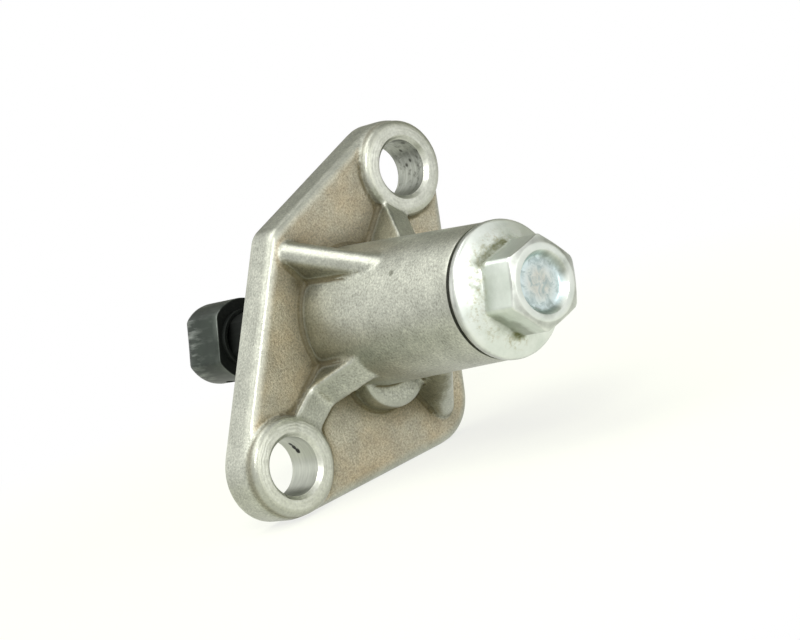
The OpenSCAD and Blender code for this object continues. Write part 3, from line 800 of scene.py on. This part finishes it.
def faced_aluminium():
    """Aluminium spot-faced round the bolt holes: bright, with the cutter's fine rings."""
    material, tree, shader, place = new_finish("spot_faced_aluminium")
    wander = add(tree, "ShaderNodeTexNoise", {"Vector": place, "Scale": per_mm(1.6), "Detail": 4.0})
    grain = add(tree, "ShaderNodeTexNoise", {
        "Vector": place, "Scale": per_mm(0.45), "Detail": 4.0, "Roughness": 0.7})
    off = bolt_distance(tree, place)
    # The cutter's rings are finer than this; they are drawn 0.5 mm apart so that they show.
    turns = add(tree, "ShaderNodeMath", {0: off, 1: 2 * math.pi * per_mm(0.5)}, operation="MULTIPLY")
    shifted = add(tree, "ShaderNodeMath", {0: wander, 1: 9.0, 2: turns}, operation="MULTIPLY_ADD")
    rings = add(tree, "ShaderNodeMath", {0: shifted}, operation="SINE")
    tone = add(tree, "ShaderNodeMapRange", {
        "Value": rings, "From Min": -1.0, "From Max": 1.0, "To Min": 0.44, "To Max": 0.56})
    worn = add(tree, "ShaderNodeMath", {0: tone, 1: wander}, operation="ADD")
    paler = add(tree, "ShaderNodeMapRange", {"Value": worn, "From Min": 0.7, "From Max": 1.3})
    faced = add(tree, "ShaderNodeMix", {"Factor": paler, "A": "#c0c2b5", "B": "#dadcd1"}, data_type="RGBA")
    outer = add(tree, "ShaderNodeMapRange", {
        "Value": off, "From Min": (SPOT_FACE_R - 0.7) * MM, "From Max": SPOT_FACE_R * MM, "To Max": 0.9})
    colour = add(tree, "ShaderNodeMix", {"Factor": outer, "A": faced, "B": "#b2b4a5"}, data_type="RGBA")
    speck = add(tree, "ShaderNodeMapRange", {
        "Value": grain, "From Min": 0.3, "From Max": 0.7, "To Min": 0.84, "To Max": 1.12})
    speckled = add(tree, "ShaderNodeMix", {
        "Factor": 1.0, "A": colour, "B": speck}, data_type="RGBA", blend_type="MULTIPLY")
    height = add(tree, "ShaderNodeMath", {0: grain, 1: 2.0, 2: rings}, operation="MULTIPLY_ADD")
    bump = add(tree, "ShaderNodeBump", {"Strength": 0.2, "Distance": 0.04 * MM, "Height": height})
    feed(tree, shader, {"Base Color": speckled, "Metallic": 1.0, "Roughness": 0.38, "Normal": bump})
    return material


def drilled_aluminium():
    """Aluminium drilled through the casting: smooth, with feed marks and open pores."""
    material, tree, shader, place = new_finish("drilled_aluminium")
    across = add(tree, "ShaderNodeSeparateXYZ", {"Vector": place}).outputs["X"]
    stretched = add(tree, "ShaderNodeMapping", {"Vector": place, "Scale": (0.35, 2.5, 0.35)})
    feed_marks = add(tree, "ShaderNodeTexNoise", {"Vector": stretched, "Scale": per_mm(1.0), "Detail": 5.0})
    pores = add(tree, "ShaderNodeTexNoise", {
        "Vector": place, "Scale": per_mm(0.8), "Detail": 3.0, "Roughness": 0.65})
    # The upper hole was drilled through a porous spot; the lower one is nearly sound.
    porous = add(tree, "ShaderNodeMapRange", {
        "Value": across, "From Min": 0.0, "From Max": POROUS_X * MM, "To Min": 0.8, "To Max": 0.54})
    pore_edge = add(tree, "ShaderNodeMath", {0: porous, 1: 0.22}, operation="ADD")
    pitted = add(tree, "ShaderNodeMapRange", {"Value": pores, "From Min": porous, "From Max": pore_edge})
    tone = add(tree, "ShaderNodeMapRange", {"Value": feed_marks, "From Min": 0.3, "From Max": 0.7})
    upper, lower = [
        add(tree, "ShaderNodeMix", {"Factor": tone, "A": dark, "B": pale}, data_type="RGBA")
        for dark, pale in (("#888b81", "#a6a99e"), ("#a3a69b", "#b8bbaf"))]
    in_upper = add(tree, "ShaderNodeMath", {0: across, 1: 0.0}, operation="GREATER_THAN")
    colour = layered(tree, lower, [
        (in_upper, upper), (pitted, "#5b5c52"), (marks(tree, place, UPPER_HOLE_PITS, 0.2), "#4d4e46"),
        (marks(tree, place, LOWER_HOLE_MARK, 0.08), "#1b1b18")])
    hollow = add(tree, "ShaderNodeMath", {0: 1.0, 1: pitted}, operation="SUBTRACT")
    bump = add(tree, "ShaderNodeBump", {"Strength": 0.5, "Distance": 0.1 * MM, "Height": hollow})
    feed(tree, shader, {"Base Color": colour, "Metallic": 1.0, "Roughness": 0.36, "Normal": bump})
    return material


def turned_aluminium():
    """Aluminium turned and milled to size: the mounting face, the pilot and the bore."""
    material, tree, shader, place = new_finish("turned_aluminium")
    along = add(tree, "ShaderNodeSeparateXYZ", {"Vector": place}).outputs["Y"]
    reach = add(tree, "ShaderNodeMath", {0: axis_distance(tree, place), 1: along}, operation="ADD")
    wander = add(tree, "ShaderNodeTexNoise", {"Vector": place, "Scale": per_mm(4.0), "Detail": 4.0})
    # Turning marks, drawn 0.4 mm apart so that they show.
    turns = add(tree, "ShaderNodeMath", {0: reach, 1: 2 * math.pi * per_mm(0.4)}, operation="MULTIPLY")
    rings = add(tree, "ShaderNodeMath", {0: turns}, operation="SINE")
    tone = add(tree, "ShaderNodeMath", {0: rings, 1: 0.18, 2: wander}, operation="MULTIPLY_ADD")
    colour = add(tree, "ShaderNodeMix", {"Factor": tone, "A": "#a9aba2", "B": "#cfd1c9"}, data_type="RGBA")
    bump = add(tree, "ShaderNodeBump", {"Strength": 0.2, "Distance": 0.03 * MM, "Height": rings})
    feed(tree, shader, {"Base Color": colour, "Metallic": 1.0, "Roughness": 0.34, "Normal": bump})
    return material


def zinc_plate():
    """Zinc-plated forged steel: pale and slightly blue, bright on worn edges, with old oil dirt.

    The dirt lies in the corner between the hexagon and the flange. Painted shade darkens the lower flat and
    the dish's wall, and painted light makes the hexagon's upper part paler.
    """
    material, tree, shader, place = new_finish("zinc_plated_steel")
    wear = add(tree, "ShaderNodeAttribute", attribute_name="wear").outputs["Fac"]
    along = add(tree, "ShaderNodeSeparateXYZ", {"Vector": place})
    depth, height = along.outputs["Y"], along.outputs["Z"]
    off = axis_distance(tree, place)
    cloud, fine, sparse = [
        add(tree, "ShaderNodeTexNoise", {
            "Vector": place, "Scale": per_mm(size), "Detail": detail, "Roughness": 0.6})
        for size, detail in ((2.6, 5.0), (1.5, 4.0), (0.55, 3.0))]
    forged = add(tree, "ShaderNodeTexNoise", {
        "Vector": place, "Scale": per_mm(1.3), "Detail": 5.0, "Roughness": 0.65, "Distortion": 1.2})
    tone = add(tree, "ShaderNodeMapRange", {"Value": cloud, "From Min": 0.3, "From Max": 0.7})
    hexagon, flange, edge_skin_and_shade = [
        add(tree, "ShaderNodeMix", {"Factor": tone, "A": dark, "B": pale}, data_type="RGBA")
        for dark, pale in (("#bac2b6", "#d0d7cc"), ("#d2d9d0", "#e5eae3"), ("#a2a49d", "#bcc0b9"))]

    # The flange's cone and the ring on the head are rubbed bright. The rim and the chamfer are darker, partly
    # for their matt forged skin and partly as painted shade.
    on_flange = add(tree, "ShaderNodeMapRange", {
        "Value": depth, "From Min": (HEX_FOOT_Y - 0.5) * MM, "From Max": (HEX_FOOT_Y + 0.2) * MM})
    on_end = add(tree, "ShaderNodeMapRange", {
        "Value": depth, "From Min": (0.7 - BOLT_TOP) * MM, "From Max": (0.2 - BOLT_TOP) * MM, "To Max": 0.85})
    inside_ring = add(tree, "ShaderNodeMapRange", {
        "Value": off, "From Min": (HEAD_RING_R + 0.2) * MM, "From Max": HEAD_RING_R * MM})
    on_ring = add(tree, "ShaderNodeMath", {0: on_end, 1: inside_ring}, operation="MULTIPLY")
    inside_rim = add(tree, "ShaderNodeMapRange", {
        "Value": off, "From Min": BOLT_FLANGE_R * MM, "From Max": (BOLT_FLANGE_R - 0.25) * MM})
    on_cone = add(tree, "ShaderNodeMath", {0: on_flange, 1: inside_rim}, operation="MULTIPLY")
    rubbed_faces = add(tree, "ShaderNodeMath", {0: on_cone, 1: on_ring}, operation="MAXIMUM")
    on_chamfer = add(tree, "ShaderNodeMath", {0: on_end, 1: on_ring}, operation="SUBTRACT")
    on_rim = add(tree, "ShaderNodeMath", {0: on_flange, 1: on_cone}, operation="SUBTRACT")
    on_edges = add(tree, "ShaderNodeMath", {0: on_chamfer, 1: on_rim}, operation="MAXIMUM")
    # Painted light: the upper part of the hexagon takes the flange's paler colour.
    painted_light_on_top = add(tree, "ShaderNodeMapRange", {
        "Value": height, "From Min": HEX_FLAT_R / 2 * MM, "From Max": HEX_FLAT_R * MM})

    # The dish's uneven floor keeps a bluish film, thinner in the middle.
    in_dish = add(tree, "ShaderNodeMapRange", {
        "Value": off, "From Min": DISH_R * MM, "From Max": (DISH_R - 0.5) * MM})
    mottle = add(tree, "ShaderNodeMapRange", {"Value": forged, "From Min": 0.33, "From Max": 0.56})
    middle = add(tree, "ShaderNodeMapRange", {
        "Value": off, "From Min": (DISH_FLOOR_R - 0.15) * MM, "From Max": DISH_MIDDLE_R * MM, "To Max": 0.8})
    dish_film = add(tree, "ShaderNodeMix", {
        "Factor": middle, "A": "#d6e6e7", "B": "#cfccbf"}, data_type="RGBA")
    dish = add(tree, "ShaderNodeMix", {"Factor": mottle, "A": "#a6b6b4", "B": dish_film}, data_type="RGBA")
    worn = add(tree, "ShaderNodeMath", {0: wear, 1: tone}, operation="MULTIPLY")

    # Old oil: specks on the flange and thick dirt in the upper corner; the marks low on the hexagon are oil
    # and painted shade. The lower flat and the dish's wall get painted shade.
    low = add(tree, "ShaderNodeMapRange", {
        "Value": depth, "From Min": (HEX_FOOT_Y - 1.2) * MM, "From Max": (HEX_FOOT_Y + 0.1) * MM})
    near = add(tree, "ShaderNodeMapRange", {
        "Value": off, "From Min": (BOLT_FLANGE_R - 1.0) * MM, "From Max": (HEX_FLAT_R + 0.6) * MM})
    upper = add(tree, "ShaderNodeMapRange", {
        "Value": height, "From Min": OIL_Z[0] * MM, "From Max": OIL_Z[1] * MM, "To Min": 0.25, "To Max": 1.0})
    corner = add(tree, "ShaderNodeMath", {0: low, 1: near}, operation="MULTIPLY")
    held = add(tree, "ShaderNodeMath", {0: corner, 1: upper}, operation="MULTIPLY")
    patchy = add(tree, "ShaderNodeMapRange", {
        "Value": fine, "From Min": 0.4, "From Max": 0.68, "To Max": 0.85})
    film = add(tree, "ShaderNodeMath", {0: held, 1: patchy}, operation="MULTIPLY")
    smear_and_shade = marks(tree, place, row_spots(OIL_AND_SHADE_ROWS), 0.7)
    broken = add(tree, "ShaderNodeMapRange", {
        "Value": fine, "From Min": 0.35, "From Max": 0.6, "To Min": 0.6, "To Max": 0.95})
    caked_dirt_and_shade = add(tree, "ShaderNodeMath", {0: smear_and_shade, 1: broken}, operation="MULTIPLY")
    oil_and_shade = add(tree, "ShaderNodeMath", {0: film, 1: caked_dirt_and_shade}, operation="MAXIMUM")
    specks = add(tree, "ShaderNodeMapRange", {
        "Value": sparse, "From Min": 0.48, "From Max": 0.68, "To Max": 0.55})
    strewn = marks(tree, place, row_spots(SPECK_ROWS), 1.0)
    specked = add(tree, "ShaderNodeMath", {0: specks, 1: strewn}, operation="MULTIPLY")
    # Painted shade on the dish's wall and the lower flat.
    painted_shade_spots = marks(tree, place, row_spots(SHADE_ROWS), 0.8)
    painted_shade = add(tree, "ShaderNodeMapRange", {"Value": painted_shade_spots, "To Max": 0.55})
    colour = layered(tree, hexagon, [
        (painted_light_on_top, flange), (on_edges, edge_skin_and_shade), (rubbed_faces, flange), (in_dish, dish),
        (worn, "#e0e4db"), (specked, "#a39a72"), (painted_shade, "#6a6d5c"), (oil_and_shade, "#474a1d")])
    sheen = add(tree, "ShaderNodeMapRange", {"Value": oil_and_shade, "To Min": 0.32, "To Max": 0.8})
    clean = add(tree, "ShaderNodeMapRange", {"Value": oil_and_shade, "To Min": 1.0, "To Max": 0.0})
    bump = add(tree, "ShaderNodeBump", {"Strength": 0.3, "Distance": 0.08 * MM, "Height": cloud})
    feed(tree, shader, {"Base Color": colour, "Roughness": sheen, "Metallic": clean, "Normal": bump})
    return material


def black_oxide():
    """Blackened steel: gunmetal dark, rubbed pale on its edges and in streaks along its travel."""
    material, tree, shader, place = new_finish("black_oxide_steel")
    wear = add(tree, "ShaderNodeAttribute", attribute_name="wear").outputs["Fac"]
    along = add(tree, "ShaderNodeSeparateXYZ", {"Vector": place}).outputs["Y"]
    facing = add(tree, "ShaderNodeSeparateXYZ", {"Vector": add(tree, "ShaderNodeTexCoord").outputs["Normal"]})
    drawn = add(tree, "ShaderNodeMapping", {"Vector": place, "Scale": (1, 0.2, 1)})
    streak = add(tree, "ShaderNodeTexNoise", {
        "Vector": drawn, "Scale": per_mm(1.1), "Detail": 4.0, "Roughness": 0.6})
    cloud = add(tree, "ShaderNodeTexNoise", {"Vector": place, "Scale": per_mm(3.0), "Detail": 4.0})
    tip = add(tree, "ShaderNodeMapRange", {
        "Value": along, "From Min": (CAP_TIP_Y - 5) * MM, "From Max": (CAP_TIP_Y - 0.5) * MM,
        "To Min": 0.08, "To Max": 0.7})
    rubbed = add(tree, "ShaderNodeMapRange", {"Value": streak, "From Min": 0.5, "From Max": 0.72})
    sides = add(tree, "ShaderNodeMapRange", {"Value": facing.outputs["Y"], "From Min": 0.9, "From Max": 0.5})
    rubs = add(tree, "ShaderNodeMath", {0: rubbed, 1: tip}, operation="MULTIPLY")
    streaks = add(tree, "ShaderNodeMath", {0: rubs, 1: sides}, operation="MULTIPLY")
    patchy = add(tree, "ShaderNodeMapRange", {
        "Value": cloud, "From Min": 0.4, "From Max": 0.75, "To Max": 0.6})
    edges = add(tree, "ShaderNodeMath", {0: wear, 1: patchy}, operation="MULTIPLY")
    rubbing = add(tree, "ShaderNodeMath", {0: streaks, 1: edges}, operation="MAXIMUM")
    # Painted shade: the cap's back and what lies behind it are made nearly black and rougher, and show no
    # rubbing.
    behind = add(tree, "ShaderNodeMapRange", {
        "Value": along, "From Min": (CAP_BACK_Y + 0.06) * MM, "From Max": CAP_BACK_Y * MM, "To Max": 0.8})
    reached = add(tree, "ShaderNodeMapRange", {"Value": behind, "To Min": 1.0, "To Max": 0.0})
    worn = add(tree, "ShaderNodeMath", {0: rubbing, 1: reached}, operation="MULTIPLY")
    colour = layered(tree, "#222722", [(cloud, "#353e35"), (behind, "#070807"), (worn, "#a7ada6")])
    sheen = add(tree, "ShaderNodeMapRange", {"Value": behind, "To Min": 0.42, "To Max": 0.75})
    bump = add(tree, "ShaderNodeBump", {"Strength": 0.15, "Distance": 0.05 * MM, "Height": streak})
    feed(tree, shader, {"Base Color": colour, "Metallic": 0.75, "Roughness": sheen, "Normal": bump})
    return material


def plain_steel(name, dark, pale, roughness):
    """Bare oiled steel with a faint clouded film of oil."""
    material, tree, shader, place = new_finish(name)
    film = add(tree, "ShaderNodeTexNoise", {"Vector": place, "Scale": per_mm(1.8), "Detail": 5.0})
    colour = add(tree, "ShaderNodeMix", {"Factor": film, "A": dark, "B": pale}, data_type="RGBA")
    feed(tree, shader, {"Base Color": colour, "Metallic": 0.9, "Roughness": roughness})
    return material


def nitrile_rubber():
    """Moulded nitrile rubber: black and matt, slightly greyed by handling."""
    material, tree, shader, place = new_finish("nitrile_rubber")
    bloom = add(tree, "ShaderNodeTexNoise", {"Vector": place, "Scale": per_mm(1.2), "Detail": 4.0})
    colour = add(tree, "ShaderNodeMix", {"Factor": bloom, "A": "#151614", "B": "#2b2c29"}, data_type="RGBA")
    feed(tree, shader, {"Base Color": colour, "Roughness": 0.6})
    return material


# Pieces in place

casting = make_casting()
mark_shelter(casting)
casting.data.attributes.new("bend", "FLOAT", "POINT").data.foreach_set("value", bends(casting.data))
finish_faces(casting, cast_aluminium(), faced_aluminium(), drilled_aluminium(), turned_aluminium())
shade(casting, 38)
stand_in_for(casting, "housing", "housing")

bolt = revolve("finished_bolt", bolt_profile, sides=240, start=HEX_TURN)
bolt.data.materials.append(zinc_plate())
shade(bolt, 34)
stand_in_for(bolt, "sealing_bolt", "housing")

oxide = black_oxide()
cap = make_cap()
cap.data.materials.append(oxide)
shade(cap, 34)
stand_in_for(cap, "plunger_cap", "plunger")

rubber = nitrile_rubber()
machined = plain_steel("machined_oiled_steel", "#7d817e", "#a4a8a5", 0.34)
spring = plain_steel("oiled_spring_steel", "#4a4d4b", "#6d716e", 0.38)
lead_screw = make_screw()
lead_screw.data.materials.append(machined)
shade(lead_screw, 40)
stand_in_for(lead_screw, "lead_screw", "screw")

wound_spring = make_spring(spring)
shade(wound_spring, 50)
stand_in_for(wound_spring, "torsion_spring", "housing")

kept = {
    "sealing_washer": rubber, "pilot_o_ring": rubber, "bearing_plate": machined, "thrust_seat": machined,
    "retaining_ring": spring, "cap_pin": spring, "plunger_tube": oxide}
for name, material in kept.items():
    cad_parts[name].data.materials.clear()
    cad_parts[name].data.materials.append(material)


# Floor, light and camera

def backdrop(tree, lit, white):
    """Shows a surface as white to the camera and to reflections, and as lit to the rest."""
    path = add(tree, "ShaderNodeLightPath")
    seen = add(tree, "ShaderNodeMath", {
        0: path.outputs["Is Camera Ray"], 1: path.outputs["Is Glossy Ray"]}, operation="MAXIMUM")
    shown = add(tree, "ShaderNodeMath", {
        0: seen, 1: path.outputs["Is Transmission Ray"]}, operation="MAXIMUM")
    return add(tree, "ShaderNodeMixShader", {0: shown, 1: lit, 2: white})


def panel(name, corners, material):
    """One flat face with its corners in millimetres."""
    bm = bmesh.new()
    bm.faces.new([bm.verts.new(Vector(corner) * MM) for corner in corners])
    face = mesh_object(name, bm)
    face.data.materials.append(material)
    return face


def make_floor():
    """Pale table under the flange's lower edge, with a faint shadow near the part."""
    material, tree = new_material("white_table")
    place = add(tree, "ShaderNodeTexCoord").outputs["Object"]
    off = add(tree, "ShaderNodeVectorMath", {0: place}, operation="LENGTH")
    near, far = SHADOW_REACH
    shadow = add(tree, "ShaderNodeMapRange", {
        "Value": off, "From Min": near * MM, "From Max": far * MM, "To Min": 0.26, "To Max": 0.0})
    lit = add(tree, "ShaderNodeBsdfDiffuse", {"Color": "#f0f4d2"})
    white = add(tree, "ShaderNodeEmission", {"Strength": 1.0})
    shaded = add(tree, "ShaderNodeMixShader", {0: shadow, 1: white, 2: lit})
    add(tree, "ShaderNodeOutputMaterial", {"Surface": backdrop(tree, lit, shaded)})
    sides = [(-1, -1), (1, -1), (1, 1), (-1, 1)]
    floor = panel("floor", [(x * FLOOR_HALF, y * FLOOR_HALF, FLANGE_FOOT_Z) for x, y in sides], material)


def make_card():
    """Grey card on the right, out of the camera's sight, that shades that side of the metal."""
    material, tree = new_material("grey_card")
    matt = add(tree, "ShaderNodeBsdfDiffuse", {"Color": "#a0a09c"})
    add(tree, "ShaderNodeOutputMaterial", {"Surface": matt})
    front, back = CARD_Y
    card = panel("grey_card", [
        (CARD_X, front, FLANGE_FOOT_Z), (CARD_X, back, FLANGE_FOOT_Z), (CARD_X, back, CARD_TOP_Z),
        (CARD_X, front, CARD_TOP_Z)], material)
    card.visible_camera = False


def make_world():
    """Even white surroundings, shown as plain white."""
    world = bpy.data.worlds.new("studio")
    world.use_nodes = True
    tree = world.node_tree
    tree.nodes.clear()
    lit = add(tree, "ShaderNodeBackground", {"Color": "#ffffff", "Strength": 0.9})
    white = add(tree, "ShaderNodeBackground", {"Color": "#ffffff", "Strength": 1.0})
    add(tree, "ShaderNodeOutputWorld", {"Surface": backdrop(tree, lit, white)})
    bpy.context.scene.world = world


def soft_lamp(name, place, size, power):
    """Soft box that faces the part, at a place in millimetres."""
    lamp = bpy.data.lights.new(name, "AREA")
    lamp.size = size * MM
    lamp.energy = power
    obj = bpy.data.objects.new(name, lamp)
    obj.location = Vector(place) * MM
    obj.rotation_euler = (-obj.location).to_track_quat("-Z", "Y").to_euler()
    bpy.context.scene.collection.objects.link(obj)


def make_camera():
    """The photograph's camera, from its place, its directions and its lens."""
    right, up = Vector(CAMERA_RIGHT), Vector(CAMERA_UP)
    turn = Matrix((right, up, right.cross(up))).transposed().to_4x4()
    camera = bpy.data.objects.new("camera", bpy.data.cameras.new("camera"))
    camera.matrix_world = Matrix.Translation(Vector(CAMERA_PLACE) * MM) @ turn
    camera.data.sensor_fit = "HORIZONTAL"
    camera.data.sensor_width = SENSOR_W
    camera.data.lens = CAMERA_LENS
    camera.data.clip_start = 0.01
    camera.data.clip_end = 20
    bpy.context.scene.collection.objects.link(camera)
    bpy.context.scene.camera = camera


make_floor()
make_world()
make_card()
for name, place, size, power in LAMPS:
    soft_lamp(name, place, size, power)
make_camera()
bpy.context.scene.view_settings.view_transform = "Standard"
